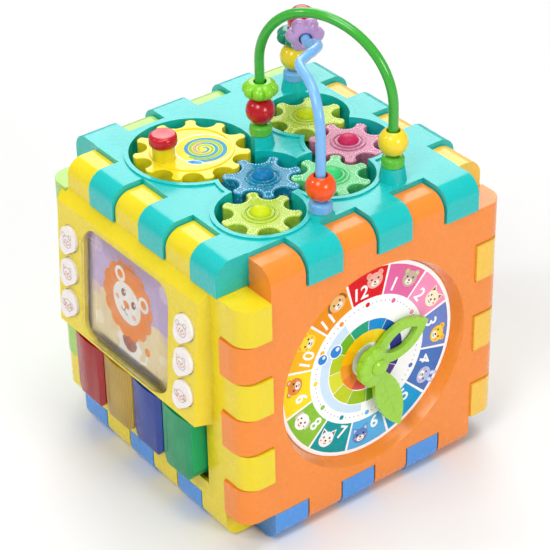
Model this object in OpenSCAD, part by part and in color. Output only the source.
// Activity cube: six interlocking panels, each with its own play pieces.
// The origin is on the table under the middle of the cube; the picture panel faces -Y,
// the clock panel faces +X and the gear panel is on top.

/* [Cube] */
// Width, depth and height of the closed cube
cube_w = 210; // [208:1:214]
// Depth of the finger joints along every cube edge
tab_depth = 23.4; // [22.8:0.1:23.8]
// Radius of the rounded cube edges
edge_r = 12; // [10:0.5:14]
// Wall thickness of the moulded panels
wall = 2.6; // [2.2:0.1:2.8]
// Gap on each side of a finger where two panels meet
seam = 0.5; // [0.4:0.1:0.8]

/* [Gears] */
// Teeth on each small gear
small_teeth = 7; // [7:1:7]
// Teeth on the crank gear
crank_teeth = 11; // [11:1:11]
// Tip radius of a small gear
small_tip_r = 25.5; // [25.3:0.1:25.7]
// Tip radius of the crank gear
crank_tip_r = 37.7; // [37.5:0.1:37.9]
// Radius of the round hollow between two teeth
scallop_r = 6.6; // [6.5:0.1:6.7]
// Radius of a gear axle post
post_r = 4; // [3.5:0.5:4]

/* [Bead maze] */
// Radius of a coated steel wire
wire_r = 3.2; // [3:0.1:3.3]
// Radius of a round bead
bead_r = 9.5; // [9:0.1:9.6]
// Radius of the hole through a bead
bead_bore_r = 4.3; // [4.2:0.1:4.5]

/* [Picture panel] */
// Width of the picture window
window_w = 93; // [90:1:94]
// Height of the picture window
window_h = 82; // [80:1:83]
// Width of a piano key
key_w = 32; // [31.6:0.1:32.2]
// Height of the keys above the panel
key_rise = 12.7; // [12:0.1:13]
// Press travel of an icon button
button_travel = 1.5; // [1:0.1:1.5]

/* [Clock panel] */
// Radius of the recess at the panel face
clock_rim_r = 73.5; // [72:0.5:74]
// Depth of the recess down to the dial
clock_depth = 8.5; // [8:0.5:10]
// Length of the minute hand from the middle of the clock
minute_len = 59; // [54:0.5:60]
// Length of the hour hand from the middle of the clock
hour_len = 48; // [44:0.5:52]

/* [Hidden] */
$fn = 64;

half = cube_w / 2;
inner = half - tab_depth;
pitch = inner / 3;
side_face = half - 1.5;
top_tab_level = half - 3.5;
foot_tab_level = half - 1;
inside_gap = 0.25;
lap = 0.5;
running_gap = 0.05;
free_gap = 0.4;

// Gear train: pitch radii in the ratio of the teeth, and the direction from gear to gear.
small_pitch_r = 21.4;
crank_pitch_r = small_pitch_r * crank_teeth / small_teeth;
small_step = 2 * small_pitch_r;
crank_step = small_pitch_r + crank_pitch_r;
blue_at = [17, -21];
dir_lime_front = -39.2;
dir_mint = 53.3;
dir_pink = 127;
dir_lime_back = 180;
dir_crank = 198.1;
function step(from, dir, len) = from + len * [cos(dir), sin(dir)];
lime_front_at = step(blue_at, dir_lime_front, small_step);
mint_at = step(blue_at, dir_mint, small_step);
pink_at = step(mint_at, dir_pink, small_step);
lime_back_at = step(pink_at, dir_lime_back, small_step);
crank_at = step(blue_at, dir_crank, crank_step);
// Turn that puts a gap of the second gear opposite a tooth of the first.
function mesh_turn(dir, turn, n1, n2) = dir + 180 - (0.5 - (dir - turn) * n1 / 360) * 360 / n2;
blue_turn = 23.3;
lime_front_turn = mesh_turn(dir_lime_front, blue_turn, small_teeth, small_teeth);
mint_turn = mesh_turn(dir_mint, blue_turn, small_teeth, small_teeth);
pink_turn = mesh_turn(dir_pink, mint_turn, small_teeth, small_teeth);
lime_back_turn = mesh_turn(dir_lime_back, pink_turn, small_teeth, small_teeth);
crank_turn = mesh_turn(dir_crank, blue_turn, small_teeth, crank_teeth);
small_gears_at = [blue_at, lime_front_at, mint_at, pink_at, lime_back_at];

pocket_gap = 2.6;
pocket_depth = 15;
lip_w = 3;
lip_h = 1.2;
gear_floor = half - pocket_depth;
gear_top = half - 1;
small_gear_h = 9.5;
crank_gear_h = 12;
crank_top = half + 1.5;
knob_ring_r = 20.4;
knob_dir = -94.5;
pillar_r = 7.3;
pillar_h = 10;
knob_stem_r = 3;
knob_stem_h = 5;
knob_r = 9.2;
knob_h = 8;

// Bead maze, in the cube's own frame with z measured from the middle of the cube.
left_leg_at = [-15.5, 2.2];
right_leg_at = [70.5, 39.5];
front_leg_at = [75, -21];
back_leg_at = [-59, 63];
boss_h = 10;
low_boss_h = 8;
front_boss_h = 3;
boss_r = 7.4;
boss_base_r = 9;
narrow_boss_r = 6.4;
collar_r = 7.3;
collar_h = 6.8;
arch_span = norm(right_leg_at - left_leg_at);
arch_dir = atan2(right_leg_at.y - left_leg_at.y, right_leg_at.x - left_leg_at.x);
arch_top = 206.5;
arch_left_r = 41.5;
arch_right_r = arch_span - arch_left_r;
wire_foot = half - 9;
// Route of the blue wire: up the front leg, over a small wave and down the back leg.
blue_route = [
  [75, -21, 96], [75, -21, 130], [75, -21, 160], [73, -20.5, 172], [66, -18, 182], [57, -15, 187],
  [48, -13, 189], [41, -9.5, 190], [36.5, -1, 190], [33, 7, 189.5], [28, 14.5, 188], [21, 19, 185.5],
  [14.5, 19, 183], [8.7, 20.6, 182.3], [2.5, 24.5, 183], [-11.6, 33.4, 184.6], [-20, 38.7, 185.2],
  [-31, 45.5, 180], [-42, 52.5, 173], [-51.5, 58.5, 164.5], [-57.8, 62.3, 155],
  [-59, 63, 144], [-59, 63, 118], [-59, 63, 96]
];
bead_line_a = blue_route[14];
bead_line_b = blue_route[15];
red_bead_along = 16.7;
flower_h = 11;
petal_r = 5;
petal_ring_r = 6.8;
function bead_level(boss) = half + boss + collar_h + bead_r + 0.3;
flower_on_bead = bead_r + flower_h / 2 + 0.4;

// Console of the picture panel, in the panel's frame: x right, y up, z out.
console_x0 = -87;
console_x1 = 72;
console_y0 = -17;
console_y1 = 81;
console_low_rise = 12.5;
console_high_rise = 6.8;
console_side_run = 5;
console_face_y1 = console_y1 - 7;
console_tilt = atan((console_low_rise - console_high_rise) / (console_face_y1 - console_y0 - 1));
console_mid_y = 28.5;
console_mid_z = side_face + console_high_rise
  + (console_face_y1 - console_mid_y) * tan(console_tilt);
window_x = -7.5;
window_corner = 12;
window_rise = 5;
flange_h = window_h + 0.8;
button_xs = [-71, 56];
button_ys = [21, -3, -27];
button_rise = 2.2;
button_flange = [20.7, 23.5];
board_z = 88.4;
board_t = 1.6;
pad_h = 1.5;

keys_x0 = -69;
key_pitch = 33;
key_y0 = -68;
key_y1 = -18.5;
key_top = side_face + key_rise;
key_pivot_y = -23;
key_pivot_z = 96;
key_rod_r = 1.5;
key_below = 2.6;
key_tip_y = -50;
cover_z = 79;
cover_t = 2.4;
cell_r = 7.2;
cell_len = 50;
battery_at = [-8, 22];
battery_w = 54;
battery_h = 50;
battery_depth = 19;
speaker_at = [44, -40];
speaker_r = 18;
magnet_r = 11;
grille_hole_r = 1.8;
grille_ring_r = 7;
switch_slot_at = [-54, -44];
switch_slot = [14, 6];
plunger_r = 2.6;
pad_r = 3.6;
screw_r = 1.3;
screw_head_r = 3;
screw_pass_r = 1.7;
screw_post_r = 4;
board_at = [-77, -64];
board_size = [140, 136];
screw_posts = [[-72, 70], [72, 70], [-72, -74], [72, -74]];

clock_y = -2;
dial_r = clock_rim_r - 3.6;
dial_z = side_face - clock_depth;
dial_t = 1.6;
spindle_r = 3;
bowl_low = dial_z - dial_t - 2 * wall;

roller_r = 19.5;
roller_w = 40;
roller_pitch = 41.4;
roller_y = 12;
roller_z = side_face - 8;
roller_bay_w = 128;
roller_bay_h = 46;

spinner_r = 44;
spinner_y = 17;
spinner_depth = 10;
slot_y = -54;
slot_len = 112;
slot_h = 9;
slider_travel = 90;

// Turns the panel frame (x right, y up, z out of the panel) to each face of the cube.
module on_top() translate([0, 0, half]) children();
module on_base() translate([0, 0, half]) rotate([180, 0, 0]) children();
module on_front() translate([0, 0, half]) rotate([90, 0, 0]) children();
module on_clock() translate([0, 0, half]) rotate([90, 0, 90]) children();
module on_clock_middle() on_clock() translate([0, clock_y, 0]) children();
module on_back() translate([0, 0, half]) rotate([90, 0, 180]) children();
module on_left() translate([0, 0, half]) rotate([90, 0, 270]) children();

module rounded_box_2d(w, h, r) {
  translate([-w / 2 + r, -h / 2]) square([w - 2 * r, h]);
  translate([-w / 2, -h / 2 + r]) square([w, h - 2 * r]);
  for (x = [-1, 1], y = [-1, 1]) translate([x * (w / 2 - r), y * (h / 2 - r)]) circle(r);
}

// ---- Interlocking panel ----

// Cross-section of a panel with its two rounded cube edges.
module edge_profile(face, left, right) {
  translate([-left, inner - 1]) square([left + right, face - edge_r - inner + 1]);
  translate([edge_r - left, inner - 1]) square([left + right - 2 * edge_r, face - inner + 1]);
  for (x = [edge_r - left, right - edge_r]) translate([x, face - edge_r]) circle(edge_r);
}

module finger(k, shrink, low, high) {
  translate([-inner + k * pitch + shrink, inner - 2, low])
    cube([pitch - 2 * shrink, tab_depth + 7, high - low]);
}

// Solid envelope of a panel: a square slab with three fingers round each edge.
// face is the level of the outer face and tabs the outer level of the fingers at the
// top, right, bottom and left edges.
module panel_envelope(face, tabs) {
  intersection() {
    union() {
      translate([-inner, -inner, inner + inside_gap])
        cube([2 * inner, 2 * inner, tab_depth]);
      for (side = [0:3]) rotate([0, 0, -90 * side])
        for (k = [0, 2, 4]) finger(k, seam, inner + inside_gap, half + 5);
    }
    rotate([90, 0, 0]) translate([0, 0, -half - 10])
      linear_extrude(2 * half + 20) edge_profile(face, tabs[3], tabs[1]);
    rotate([90, 0, 90]) translate([0, 0, -half - 10])
      linear_extrude(2 * half + 20) edge_profile(face, tabs[2], tabs[0]);
  }
}

// The hollow inside of a panel, open towards the middle of the cube.
module panel_hollow(face, tabs) {
  translate([-inner + wall, -inner + wall, inner - 5])
    cube([2 * (inner - wall), 2 * (inner - wall), face - wall - inner + 5]);
  for (side = [0:3]) rotate([0, 0, -90 * side])
    for (k = [0, 2, 4])
      translate([-inner + k * pitch + seam + wall, inner + 0.6, inner - 5])
        cube([pitch - 2 * seam - 2 * wall, tabs[side] - inner - wall - 2.6,
          face - inner - wall + 3]);
}

module panel(face, tabs) {
  difference() {
    panel_envelope(face, tabs);
    panel_hollow(face, tabs);
  }
}

side_tabs = [top_tab_level, half, foot_tab_level, half];

module base_panel() color("#5a9cf0") on_base() difference() {
  panel(half, [side_face, side_face, side_face, side_face]);
  for (x = [-1, 1], y = [-1, 1]) translate([x * 42, y * 42, half - 1.2])
    linear_extrude(2) rounded_box_2d(70, 70, 10);
}

// ---- Gear panel ----

module pocket_2d(grow) {
  translate(crank_at) circle(crank_tip_r + pocket_gap + grow);
  for (p = small_gears_at) translate(p) circle(small_tip_r + pocket_gap + grow);
}

module wire_boss(p, h) translate([p.x, p.y, half - lap])
  cylinder(h = h + lap, r1 = boss_base_r, r2 = boss_r);

module on_left_leg(z) translate([left_leg_at.x, left_leg_at.y, z]) children();

module wire_holes() {
  for (p = [left_leg_at, right_leg_at, front_leg_at, back_leg_at])
    translate([p.x, p.y, wire_foot - 0.2]) cylinder(h = 40, r = wire_r + 0.1);
}

module top_panel() color("#4dd8d8") on_top() difference() {
  union() {
    difference() {
      union() {
        panel(half, [half, half, half, half]);
        translate([0, 0, half - lap]) linear_extrude(lap + lip_h) pocket_2d(lip_w);
        translate([0, 0, gear_floor]) linear_extrude(pocket_depth - wall + lap) pocket_2d(2);
        for (p = [left_leg_at, back_leg_at]) wire_boss(p, low_boss_h);
        wire_boss(right_leg_at, boss_h);
        wire_boss(front_leg_at, front_boss_h);
        for (p = [left_leg_at, right_leg_at, front_leg_at, back_leg_at])
          translate([p.x, p.y, wire_foot - wall]) cylinder(h = 8, r = 6);
      }
      translate([0, 0, gear_floor - 1]) linear_extrude(40) pocket_2d(0);
    }
    intersection() {
      wire_boss(left_leg_at, low_boss_h);
      on_left_leg(half - lap) cylinder(h = 20, r = narrow_boss_r);
    }
    on_left_leg(wire_foot - wall) cylinder(h = 12, r = narrow_boss_r);
  }
  wire_holes();
  translate([half - tab_depth, -pitch - seam, half - tab_depth])
    cube([tab_depth + 1, pitch + 2 * seam, 60]);
}

module gear_tray() color("#0c7a62") on_top() {
  translate([0, 0, gear_floor - wall - 0.1]) linear_extrude(wall) intersection() {
    pocket_2d(2);
    square(2 * (inner - wall - 0.3), center = true);
  }
  for (p = small_gears_at) translate([p.x, p.y, gear_floor - 1])
    cylinder(h = gear_top - gear_floor - 1, r = post_r);
  translate([crank_at.x, crank_at.y, gear_floor - 1])
    cylinder(h = crank_top - gear_floor - 2.5, r = post_r);
}

// Outline of a gear with round teeth and round hollows between them.
module gear_2d(teeth, tip_r) {
  difference() {
    union() {
      circle(tip_r - 4.5);
      for (i = [0:teeth - 1]) rotate(i * 360 / teeth) translate([tip_r - 4.4, 0]) circle(4.4);
    }
    for (i = [0:teeth - 1]) rotate((i + 0.5) * 360 / teeth)
      translate([tip_r - 2.3, 0]) circle(scallop_r);
  }
}

// A small gear: toothed disc, hub that runs on the post, and a domed cap.
module small_gear(at, turn) on_top() translate([at.x, at.y, 0]) rotate([0, 0, turn]) difference() {
  union() {
    translate([0, 0, gear_top - small_gear_h]) linear_extrude(small_gear_h)
      gear_2d(small_teeth, small_tip_r);
    translate([0, 0, gear_floor + 0.2]) cylinder(h = 8, r = 8);
    translate([0, 0, gear_top - lap]) cylinder(h = lap + 1.2, r = 8.6);
    translate([0, 0, gear_top + 1 - 3.6]) intersection() {
      sphere(7);
      translate([0, 0, 3]) cylinder(h = 10, r = 7);
    }
  }
  translate([0, 0, gear_floor - 1]) cylinder(h = gear_top - gear_floor - 0.7, r = post_r + running_gap);
}

module blue_gear() color("#2fa8d8") small_gear(blue_at, blue_turn);
module lime_gear_front() color("#d2ee7a") small_gear(lime_front_at, lime_front_turn);
module mint_gear() color("#9cf0b0") small_gear(mint_at, mint_turn);
module pink_gear() color("#e8a0c0") small_gear(pink_at, pink_turn);
module lime_gear_back() color("#d2ee4a") small_gear(lime_back_at, lime_back_turn);

module on_crank() on_top() translate([crank_at.x, crank_at.y, 0]) children();
module on_crank_knob() on_crank() rotate([0, 0, knob_dir]) translate([knob_ring_r, 0, 0]) children();

module crank_gear() color("#f2df4a") {
  on_crank() rotate([0, 0, crank_turn]) difference() {
    union() {
      translate([0, 0, crank_top - crank_gear_h]) linear_extrude(crank_gear_h)
        gear_2d(crank_teeth, crank_tip_r);
      translate([0, 0, gear_floor + 0.2]) cylinder(h = 8, r = 9);
    }
    translate([0, 0, gear_floor - 1])
      cylinder(h = crank_top - gear_floor - 1.2, r = post_r + running_gap);
  }
  on_crank_knob() {
    translate([0, 0, crank_top - lap]) cylinder(h = pillar_h + lap, r = pillar_r);
    translate([0, 0, crank_top + pillar_h - lap]) cylinder(h = knob_stem_h + lap, r = knob_stem_r);
  }
}

module crank_knob() color("#e01030") on_crank_knob() translate([0, 0, crank_top + pillar_h + 0.3])
  difference() {
    union() {
      cylinder(h = 1.2, r1 = knob_r - 1.2, r2 = knob_r);
      translate([0, 0, 1.2]) cylinder(h = knob_h - 3.6, r = knob_r);
      translate([0, 0, knob_h - 2.4]) cylinder(h = 2.4, r1 = knob_r, r2 = knob_r - 2.4);
    }
    translate([0, 0, -1]) cylinder(h = knob_stem_h + 1.2, r = knob_stem_r + running_gap);
    for (i = [0:9]) rotate([0, 0, i * 36]) translate([knob_r + 1.2, 0, -1]) cylinder(h = 5, r = 2);
  }

// ---- Bead maze ----

module arch_frame() on_top() translate([left_leg_at.x, left_leg_at.y, 0])
  rotate([0, 0, arch_dir]) rotate([90, 0, 0]) children();

module arc_tube(r, from) rotate([0, 0, from]) rotate_extrude(angle = 90)
  translate([r, 0]) circle(wire_r);

// Two straight legs joined by two quarter turns, the right one wider.
module green_wire() color("#54c43e") arch_frame() {
  translate([arch_left_r, arch_top - arch_left_r, 0]) arc_tube(arch_left_r, 90);
  translate([arch_left_r, arch_top - arch_right_r, 0]) arc_tube(arch_right_r, 0);
  translate([0, wire_foot, 0]) rotate([-90, 0, 0])
    cylinder(h = arch_top - arch_left_r - wire_foot, r = wire_r);
  translate([arch_span, wire_foot, 0]) rotate([-90, 0, 0])
    cylinder(h = arch_top - arch_right_r - wire_foot, r = wire_r);
}

// Points along a smooth curve through the route's own points.
function spline_point(p, i, t) =
  let (a = p[max(i - 1, 0)], b = p[i], c = p[i + 1], d = p[min(i + 2, len(p) - 1)])
  0.5 * (2 * b + (c - a) * t + (2 * a - 5 * b + 4 * c - d) * t * t
    + (3 * b - a - 3 * c + d) * t * t * t);
function spline(p, n) = [
  for (i = [0:len(p) - 2], k = [0:n - 1]) spline_point(p, i, k / n),
  p[len(p) - 1]
];
function unit(v) = v / norm(v);
function tangent(p, i) = unit(p[min(i + 1, len(p) - 1)] - p[max(i - 1, 0)]);

// Tube round a path: rings of flat sides square to the path, closed at both ends.
module tube(path, r, sides, across) {
  rings = len(path);
  points = [
    for (i = [0:rings - 1])
      let (t = tangent(path, i), u = unit(cross(t, across)), v = cross(t, u))
      for (k = [0:sides - 1]) path[i] + r * (cos(k * 360 / sides) * u + sin(k * 360 / sides) * v)
  ];
  sheets = [
    for (i = [0:rings - 2], k = [0:sides - 1])
      let (a = i * sides + k, b = i * sides + (k + 1) % sides)
      [a, b, b + sides, a + sides]
  ];
  caps = [[for (k = [sides - 1:-1:0]) k], [for (k = [0:sides - 1]) (rings - 1) * sides + k]];
  polyhedron(points, concat(sheets, caps), convexity = 8);
}

module blue_wire() color("#8cc0f5") on_top()
  tube(spline(blue_route, 3), wire_r, 10, [0.6, 0.8, 0]);

module collar(p, h) translate([p.x, p.y, half + h + 0.1]) difference() {
  union() {
    cylinder(h = collar_h - 1.5, r = collar_r);
    translate([0, 0, collar_h - 1.5]) cylinder(h = 1.5, r1 = collar_r, r2 = collar_r - 1.5);
  }
  translate([0, 0, -1]) cylinder(h = collar_h + 2, r = wire_r + 0.1);
}

module green_wire_collars() color("#7ccb42") on_top() {
  collar(left_leg_at, low_boss_h);
  collar(right_leg_at, boss_h);
}

module blue_wire_collars() color("#8cc0f5") on_top() {
  collar(front_leg_at, front_boss_h);
  collar(back_leg_at, low_boss_h);
}

module round_bead() difference() {
  sphere(bead_r);
  translate([0, 0, -bead_r - 1]) cylinder(h = 2 * bead_r + 2, r = bead_bore_r);
}

module flower_bead() difference() {
  union() {
    for (i = [0:6]) rotate([0, 0, i * 360 / 7]) translate([petal_ring_r, 0, 0]) sphere(petal_r);
    translate([0, 0, -flower_h / 2]) cylinder(h = 2.5, r1 = 6, r2 = 8.4);
    translate([0, 0, -flower_h / 2 + 2.5]) cylinder(h = flower_h - 5, r = 8.4);
    translate([0, 0, flower_h / 2 - 2.5]) cylinder(h = 2.5, r1 = 8.4, r2 = 6);
  }
  translate([0, 0, -flower_h]) cylinder(h = 2 * flower_h, r = bead_bore_r);
}

module on_leg(p, z) on_top() translate([p.x, p.y, z]) children();

// Places a bead on the straight top of the blue wire, a distance along it.
module on_bead_line(along) {
  d = bead_line_b - bead_line_a;
  on_top() translate(bead_line_a + unit(d) * along)
    rotate([0, acos(d.z / norm(d)), atan2(d.y, d.x)]) children();
}

module red_bead() color("#d01020") on_leg(left_leg_at, bead_level(low_boss_h)) round_bead();
module green_flower_bead() color("#8fe03a")
  on_leg(left_leg_at, bead_level(low_boss_h) + flower_on_bead) flower_bead();
module yellow_bead() color("#f5d83a") on_leg(right_leg_at, bead_level(boss_h)) round_bead();
module orange_bead() color("#ff6a20") on_leg(front_leg_at, bead_level(front_boss_h)) round_bead();
module yellow_bead_back() color("#f5d83a") on_leg(back_leg_at, bead_level(low_boss_h)) round_bead();
module teal_flower_bead() color("#109a72")
  on_leg(back_leg_at, bead_level(low_boss_h) + flower_on_bead) flower_bead();
module purple_flower_bead() color("#c8a0d8") on_bead_line(0) flower_bead();
module red_bead_top() color("#d01020") on_bead_line(red_bead_along) round_bead();

// ---- Picture panel ----

module console_side_2d(inset) {
  low = side_face - 6;
  polygon([
    [console_y0 + inset, low], [console_y0 + inset, side_face],
    [console_y0 + 1 + inset, side_face + console_low_rise - inset],
    [console_face_y1 - 0.3 * inset, side_face + console_high_rise - inset],
    [console_y1 - 0.8 * inset, side_face], [console_y1 - 0.8 * inset, low]
  ]);
}

module console_end_2d(inset) {
  top = side_face + console_low_rise + 4;
  low = side_face - 6;
  polygon([
    [console_x0 + inset, low], [console_x0 + inset, side_face],
    [console_x0 + console_side_run + inset, top], [console_x1 - console_side_run - inset, top],
    [console_x1 - inset, side_face], [console_x1 - inset, low]
  ]);
}

module console_block(inset) intersection() {
  rotate([90, 0, 90]) translate([0, 0, -half]) linear_extrude(2 * half) console_side_2d(inset);
  rotate([90, 0, 0]) translate([0, 0, -half]) linear_extrude(2 * half) console_end_2d(inset);
}

module on_console(x, y) translate([0, console_mid_y, console_mid_z])
  rotate([-console_tilt, 0, 0]) translate([x, y, 0]) children();

// Egg outline of an icon button, its narrow end to the lower left.
module egg_2d(grow) rotate(58) hull() {
  translate([2.6, 0]) circle(9 + grow, $fn = 40);
  translate([-6, 0]) circle(5.6 + grow, $fn = 40);
}

module key_slot() translate([keys_x0 - 1.4, key_y0 - 2, side_face - 20])
  cube([3 * key_pitch + key_w + 2.8, key_y1 - key_y0 + 2.4, 40]);

module front_panel() color("#f2df4a") on_front() difference() {
  union() {
    difference() {
      union() {
        panel(side_face, side_tabs);
        intersection() {
          console_block(0);
          translate([-half, -half, side_face - wall + lap]) cube([2 * half, 2 * half, 60]);
        }
      }
      console_block(wall);
    }
    for (x = [keys_x0 - 4.4, keys_x0 + 3 * key_pitch + key_w + 1.6])
      translate([x, key_pivot_y - 4, key_pivot_z - 4]) cube([2.8, 8, side_face - key_pivot_z + 2]);
    for (p = screw_posts) translate([p.x, p.y, cover_z + cover_t + 0.2])
      cylinder(h = side_face - cover_z - cover_t - 1, r = screw_post_r);
  }
  for (k = [1, 3, 5]) translate([-half - 1, -inner + k * pitch, inner])
    cube([tab_depth + 1, pitch, tab_depth + 0.3]);
  key_slot();
  translate([-half, key_pivot_y, key_pivot_z]) rotate([0, 90, 0])
    cylinder(h = 2 * half, r = key_rod_r + running_gap);
  on_console(window_x, 0) translate([0, 0, -8]) linear_extrude(20)
    rounded_box_2d(window_w, window_h, window_corner);
  for (x = button_xs, y = button_ys) on_console(x, y) translate([0, 0, -8])
    linear_extrude(20) egg_2d(free_gap);
  for (p = screw_posts) translate([p.x, p.y, cover_z]) cylinder(h = 14, r = screw_r + 0.1);
}

// Thick clear cover with a bevelled front, held behind the console by its flange.
module window_cover() color([0.93, 0.9, 0.85, 0.45]) on_front() on_console(window_x, 0) {
  w = window_w - 0.6;
  h = window_h - 0.6;
  difference() {
    union() {
      translate([0, 0, -wall - 2]) linear_extrude(1.6)
        rounded_box_2d(window_w + 5, flange_h, window_corner + 1);
      translate([0, 0, -wall - 1]) linear_extrude(wall + 2.5) rounded_box_2d(w, h, window_corner);
      translate([0, 0, 1]) linear_extrude(window_rise - 2.6)
        rounded_box_2d(w - 2.4, h - 2.4, window_corner - 1.2);
      translate([0, 0, 3]) linear_extrude(window_rise - 3)
        rounded_box_2d(w - 6.4, h - 6.4, window_corner - 2.5);
    }
    translate([0, 0, -wall - 3]) linear_extrude(wall + 3 + window_rise - 2)
      rounded_box_2d(w - 11, h - 11, window_corner - 4);
  }
}

module picture_card() color("#e8d8b0") on_front() on_console(window_x, 0)
  translate([0, 0, -wall - 3.4]) linear_extrude(1)
    rounded_box_2d(window_w + 4, flange_h, window_corner);

module button(x, y) color("#f6f0f2") on_front() on_console(x, y) {
  depth = console_mid_z - (board_z + board_t + pad_h + button_travel + 0.2)
    - y * sin(console_tilt);
  translate([0, 0, -wall - 1]) linear_extrude(wall + 1 + button_rise) egg_2d(0);
  translate([0, 0, -wall - 1.9]) linear_extrude(1.4) intersection() {
    egg_2d(1.4);
    square(button_flange, center = true);
  }
  translate([0, 0, -depth]) cylinder(h = depth - wall, r = plunger_r);
}

module button_left_top() button(button_xs[0], button_ys[0]);
module button_left_middle() button(button_xs[0], button_ys[1]);
module button_left_bottom() button(button_xs[0], button_ys[2]);
module button_right_top() button(button_xs[1], button_ys[0]);
module button_right_middle() button(button_xs[1], button_ys[1]);
module button_right_bottom() button(button_xs[1], button_ys[2]);

module key_outline_2d(w) {
  r = 12;
  translate([-w / 2, key_y0 + r]) square([w, key_y1 - key_y0 - r]);
  translate([-w / 2 + r, key_y0]) square([w - 2 * r, r + 1]);
  for (x = [-1, 1]) translate([x * (w / 2 - r), key_y0 + r]) circle(r);
}

// Side outline of a key: flat on top, with a rounded front end.
module key_side_2d() {
  r = 6;
  translate([key_y0 + r, key_pivot_z - key_below])
    square([key_y1 - key_y0 - r, key_top - key_pivot_z + key_below]);
  translate([key_y0, key_pivot_z + 3]) square([r + 1, key_top - key_pivot_z - 3 - r]);
  translate([key_y0 + r, key_top - r]) circle(r);
}

// A hollow key with a crowned top, a hinge bore and a plunger.
module key(i) on_front() translate([keys_x0 + key_w / 2 + i * key_pitch, 0, 0]) {
  crown_r = 60;
  difference() {
    intersection() {
      translate([0, 0, key_pivot_z - key_below]) linear_extrude(40) key_outline_2d(key_w);
      rotate([90, 0, 90]) translate([0, 0, -key_w / 2 - 1]) linear_extrude(key_w + 2) key_side_2d();
      translate([0, -half, key_top - crown_r]) rotate([-90, 0, 0]) cylinder(h = 2 * half, r = crown_r);
    }
    translate([-key_w / 2 + 2.4, key_y0 + 6, key_pivot_z - 5])
      cube([key_w - 4.8, key_pivot_y - 4 - key_y0 - 6, key_top - key_pivot_z + 5 - 5.4]);
    translate([-key_w, key_pivot_y, key_pivot_z]) rotate([0, 90, 0])
      cylinder(h = 2 * key_w, r = key_rod_r + running_gap);
  }
  translate([0, key_tip_y, board_z + board_t + pad_h + 2.4])
    cylinder(h = key_top - 5 - board_z - 5.5, r = plunger_r);
}

module key_red() color("#b8102a") key(0);
module key_yellow() color("#b5a43c") key(1);
module key_blue() color("#2a49a8") key(2);
module key_green() color("#1fa36a") key(3);

module key_rod() color("silver") on_front()
  translate([keys_x0 - 3.8, key_pivot_y, key_pivot_z]) rotate([0, 90, 0])
    cylinder(h = 3 * key_pitch + key_w + 7.6, r = key_rod_r);

// Closes the back of the picture panel and carries the battery box.
module rear_cover() color("#e8d43c") on_front() difference() {
  union() {
    translate([-inner + wall + 0.4, -inner + wall + 0.4, cover_z])
      cube([2 * (inner - wall - 0.4), 2 * (inner - wall - 0.4), cover_t]);
    translate([battery_at.x - battery_w / 2 - 2, battery_at.y - battery_h / 2 - 4, cover_z - battery_depth])
      cube([battery_w + 4, battery_h + 8, battery_depth + 1]);
  }
  translate([battery_at.x - battery_w / 2, battery_at.y - battery_h / 2 - 2, cover_z - battery_depth + 2])
    cube([battery_w, battery_h + 4, battery_depth + 4]);
  translate([battery_at.x - battery_w / 2 + 3, battery_at.y - battery_h / 2 - 1, cover_z - battery_depth - 1])
    cube([battery_w - 6, battery_h + 2, 5]);
  for (p = screw_posts) translate([p.x, p.y, cover_z - 1]) cylinder(h = 10, r = screw_pass_r);
  translate([speaker_at.x, speaker_at.y, cover_z - 1]) {
    cylinder(h = 10, r = grille_hole_r);
    for (i = [0:5]) rotate([0, 0, 60 * i]) translate([grille_ring_r, 0, 0])
      cylinder(h = 10, r = grille_hole_r);
  }
  translate([switch_slot_at.x, switch_slot_at.y, cover_z - 1]) cube([switch_slot.x, switch_slot.y, 10]);
}

module cover_screws() color("silver") on_front() for (p = screw_posts) translate([p.x, p.y, 0]) {
  translate([0, 0, cover_z - 2.1]) cylinder(h = 2, r = screw_head_r);
  translate([0, 0, cover_z - 1.1]) cylinder(h = 13, r = screw_r);
}

module battery_door() color("#e8d43c") on_front()
  translate([battery_at.x, battery_at.y, cover_z - battery_depth - 0.2]) difference() {
    union() {
      translate([-battery_w / 2 + 3.3, -battery_h / 2 - 0.7, 0]) cube([battery_w - 6.6, battery_h + 1.4, 2]);
      for (y = [-14, 14]) translate([-8, y - 0.6, -0.8]) cube([16, 1.2, 1.2]);
    }
    translate([0, battery_h / 2 - 5, -1]) cylinder(h = 4, r = 1.7);
  }

module door_screw() color("silver") on_front()
  translate([battery_at.x, battery_at.y + battery_h / 2 - 5, cover_z - battery_depth]) {
    translate([0, 0, -2.4]) cylinder(h = 2, r = 2.8);
    translate([0, 0, -1.4]) cylinder(h = 3.2, r = 1.5);
  }

module battery_cells() color("#4a4e55") on_front() for (i = [-1, 0, 1])
  translate([battery_at.x + i * 16.6, battery_at.y - cell_len / 2, cover_z - battery_depth + 10.2])
    rotate([-90, 0, 0]) {
      cylinder(h = cell_len - 1.4, r = cell_r);
      cylinder(h = cell_len, r = 2.7);
    }

module circuit_board() color("#1c7a44") on_front() difference() {
  translate([board_at.x, board_at.y, board_z]) cube([board_size.x, board_size.y, board_t]);
  translate([screw_posts[0].x, screw_posts[0].y, board_z - 1]) cylinder(h = 10, r = screw_post_r + 2.5);
}

module speaker() color("#26282c") on_front()
  translate([speaker_at.x, speaker_at.y, cover_z + cover_t + 0.1]) {
    cylinder(h = 1.6, r = speaker_r);
    translate([0, 0, 1.5]) cylinder(h = 4.4, r = magnet_r);
  }

module rubber_pads() color("#9a9ea6") on_front() {
  for (x = button_xs, y = button_ys)
    translate([x, console_mid_y + y - 1.2, board_z + board_t + 0.05]) cylinder(h = pad_h - 0.1, r = pad_r);
  for (i = [0:3]) translate([keys_x0 + key_w / 2 + i * key_pitch, key_tip_y, board_z + board_t + 0.05])
    cylinder(h = pad_h - 0.1, r = pad_r);
}

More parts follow.
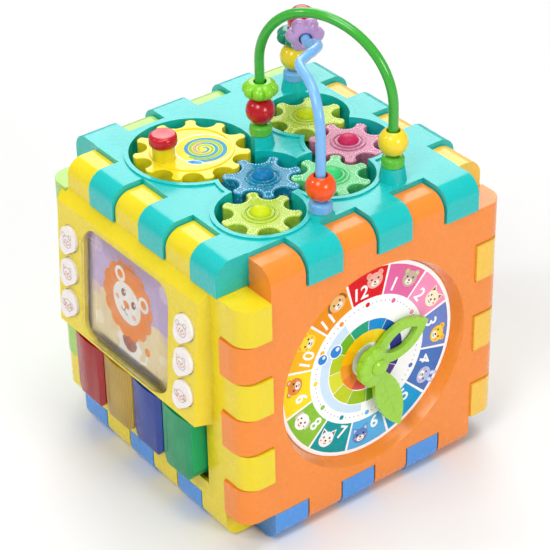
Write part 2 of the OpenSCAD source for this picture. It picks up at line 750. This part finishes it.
module power_switch() color("#303338") on_front() {
  translate([switch_slot_at.x + free_gap, switch_slot_at.y + free_gap, cover_z - 1.4])
    cube([switch_slot.x / 2, switch_slot.y - 2 * free_gap, cover_t + 3]);
  translate([switch_slot_at.x - 2, switch_slot_at.y - 2, cover_z + cover_t + 0.3])
    cube([12, switch_slot.y + 4, 1.2]);
}

// ---- Clock panel ----

module clock_panel() color("#ff8f45") difference() {
  union() {
    on_clock() panel(side_face, side_tabs);
    on_clock_middle() {
      translate([0, 0, bowl_low]) cylinder(h = side_face - wall + lap - bowl_low, r = clock_rim_r + 1);
      translate([0, 0, bowl_low - 4]) cylinder(h = 5, r = 8);
    }
  }
  on_clock_middle() {
    translate([0, 0, dial_z - lap])
      cylinder(h = clock_depth + lap + 1, r1 = dial_r + 0.3, r2 = clock_rim_r + 0.6);
    translate([0, 0, dial_z - dial_t - 0.2]) cylinder(h = 8, r = dial_r + 0.2);
    translate([0, 0, dial_z - dial_t - 20]) cylinder(h = 30, r = spindle_r + 0.1);
  }
}

module clock_dial() color("white") on_clock_middle() difference() {
  translate([0, 0, dial_z - dial_t - 0.1]) cylinder(h = dial_t, r = dial_r);
  translate([0, 0, dial_z - 5]) cylinder(h = 10, r = spindle_r + 0.2);
}

// Pointed leaf between two crossing arcs, from the middle of the clock outwards.
module leaf_2d(len, w) {
  r = (len * len / 4 + w * w / 4) / w;
  intersection() {
    translate([len / 2, r - w / 2]) circle(r);
    translate([len / 2, w / 2 - r]) circle(r);
  }
}

module minute_hand() color("#a6dc3c") on_clock_middle() translate([0, 0, dial_z + 6.3]) difference() {
  union() {
    rotate(-70) translate([3, 0]) linear_extrude(3.2) leaf_2d(minute_len - 3, 19.5);
    linear_extrude(4.2) {
      circle(9);
      for (i = [0:4]) rotate(96 + i * 36) translate([8.5, 0]) circle(6.2);
    }
  }
  translate([0, 0, -1]) cylinder(h = 8, r = spindle_r + running_gap);
}

module hour_hand() color("#a6dc3c") on_clock_middle() translate([0, 0, dial_z + 1.4]) difference() {
  union() {
    rotate(17) difference() {
      linear_extrude(3.6) leaf_2d(hour_len, 25);
      translate([11, 0, -1]) linear_extrude(8) leaf_2d(hour_len - 20, 13);
    }
    cylinder(h = 4.4, r = 9);
  }
  translate([0, 0, -1]) cylinder(h = 8, r = spindle_r + running_gap);
}

module clock_spindle() color("silver") on_clock_middle() {
  translate([0, 0, dial_z - dial_t - 12]) cylinder(h = clock_depth + dial_t + 15, r = spindle_r);
  translate([0, 0, dial_z - dial_t - 12]) cylinder(h = 2.4, r = 5.5);
}

module hand_cap() color("#a6dc3c") on_clock_middle() translate([0, 0, dial_z + 10.9]) difference() {
  union() {
    cylinder(h = 1.6, r = 5.6);
    translate([0, 0, 1.6]) cylinder(h = 1.4, r1 = 5.6, r2 = 3.6);
  }
  translate([0, 0, -1]) cylinder(h = 2.8, r = spindle_r + 0.02);
}

// ---- Roller panel ----

module back_panel() color("#f5c850") on_back() difference() {
  union() {
    panel(side_face, side_tabs);
    for (x = [-1, 1]) translate([x * (roller_bay_w / 2 + 2) - 2, roller_y - 14, roller_z - 12])
      cube([4, 28, side_face - roller_z + 11]);
  }
  translate([-roller_bay_w / 2, roller_y - roller_bay_h / 2, side_face - 20])
    cube([roller_bay_w, roller_bay_h, 40]);
  translate([-roller_bay_w, roller_y, roller_z]) rotate([0, 90, 0])
    cylinder(h = 2 * roller_bay_w, r = spindle_r + 0.1);
}

module roller(i) on_back() translate([i * roller_pitch - roller_w / 2, roller_y, roller_z])
  rotate([0, 90, 0]) difference() {
    union() {
      cylinder(h = roller_w, r = roller_r);
      for (x = [0, roller_w - 4]) translate([0, 0, x]) cylinder(h = 4, r = roller_r + 1.6);
    }
    translate([0, 0, -1]) cylinder(h = roller_w + 2, r = spindle_r + running_gap);
    for (a = [0:5]) rotate([0, 0, 60 * a]) translate([11, 0, -1]) cylinder(h = roller_w + 2, r = 4);
  }

module roller_left() color("#e8574a") roller(-1);
module roller_middle() color("#4fb3e8") roller(0);
module roller_right() color("#7ccb42") roller(1);

module roller_axle() color("silver") on_back()
  translate([-roller_bay_w / 2 - 3.8, roller_y, roller_z]) rotate([0, 90, 0])
    cylinder(h = roller_bay_w + 7.6, r = spindle_r);

// ---- Spinner panel ----

module left_panel() color("#a6d672") on_left() difference() {
  union() {
    panel(side_face, side_tabs);
    translate([0, spinner_y, side_face - spinner_depth - wall])
      cylinder(h = spinner_depth + lap, r = spinner_r + 6);
  }
  difference() {
    translate([0, spinner_y, side_face - spinner_depth])
      cylinder(h = 30, r1 = spinner_r + 2, r2 = spinner_r + 8);
    translate([0, spinner_y, side_face - spinner_depth - 1]) cylinder(h = spinner_depth + 2, r = post_r);
  }
  translate([0, slot_y, 0]) linear_extrude(200) rounded_box_2d(slot_len, slot_h, slot_h / 2 - 0.01);
}

module spinner_wheel() color("#ffb02e") on_left()
  translate([0, spinner_y, side_face - spinner_depth + 0.4]) difference() {
    union() {
      linear_extrude(9) for (i = [0:7]) rotate(45 * i) translate([spinner_r - 13.5, 0]) circle(12.5);
      cylinder(h = 9, r = spinner_r - 12);
      translate([0, 0, 8]) cylinder(h = 5, r1 = 14, r2 = 11);
    }
    translate([0, 0, -1]) cylinder(h = 12.2, r = post_r + running_gap);
    for (i = [0:7]) rotate([0, 0, 45 * i]) translate([spinner_r - 13, 0, -1]) cylinder(h = 12, r = 5.5);
  }

module slider_knob() color("#e8574a") on_left() translate([-slider_travel / 2, slot_y, side_face]) {
  translate([0, 0, 0.4]) cylinder(h = 6, r = 9);
  translate([0, 0, 6.3]) cylinder(h = 3, r1 = 9, r2 = 6);
  translate([0, 0, -wall - 1]) cylinder(h = wall + 2, r = slot_h / 2 - 0.4);
  translate([0, 0, -wall - 2.6]) cylinder(h = 2, r = 8);
}

base_panel();
top_panel();
gear_tray();
crank_gear();
crank_knob();
blue_gear();
lime_gear_front();
mint_gear();
pink_gear();
lime_gear_back();
green_wire();
blue_wire();
green_wire_collars();
blue_wire_collars();
red_bead();
green_flower_bead();
yellow_bead();
orange_bead();
purple_flower_bead();
teal_flower_bead();
red_bead_top();
yellow_bead_back();
front_panel();
window_cover();
picture_card();
button_left_top();
button_left_middle();
button_left_bottom();
button_right_top();
button_right_middle();
button_right_bottom();
key_red();
key_yellow();
key_blue();
key_green();
key_rod();
rear_cover();
cover_screws();
battery_door();
door_screw();
battery_cells();
circuit_board();
speaker();
rubber_pads();
power_switch();
clock_panel();
clock_dial();
hour_hand();
minute_hand();
clock_spindle();
hand_cap();
back_panel();
roller_left();
roller_middle();
roller_right();
roller_axle();
left_panel();
spinner_wheel();
slider_knob();
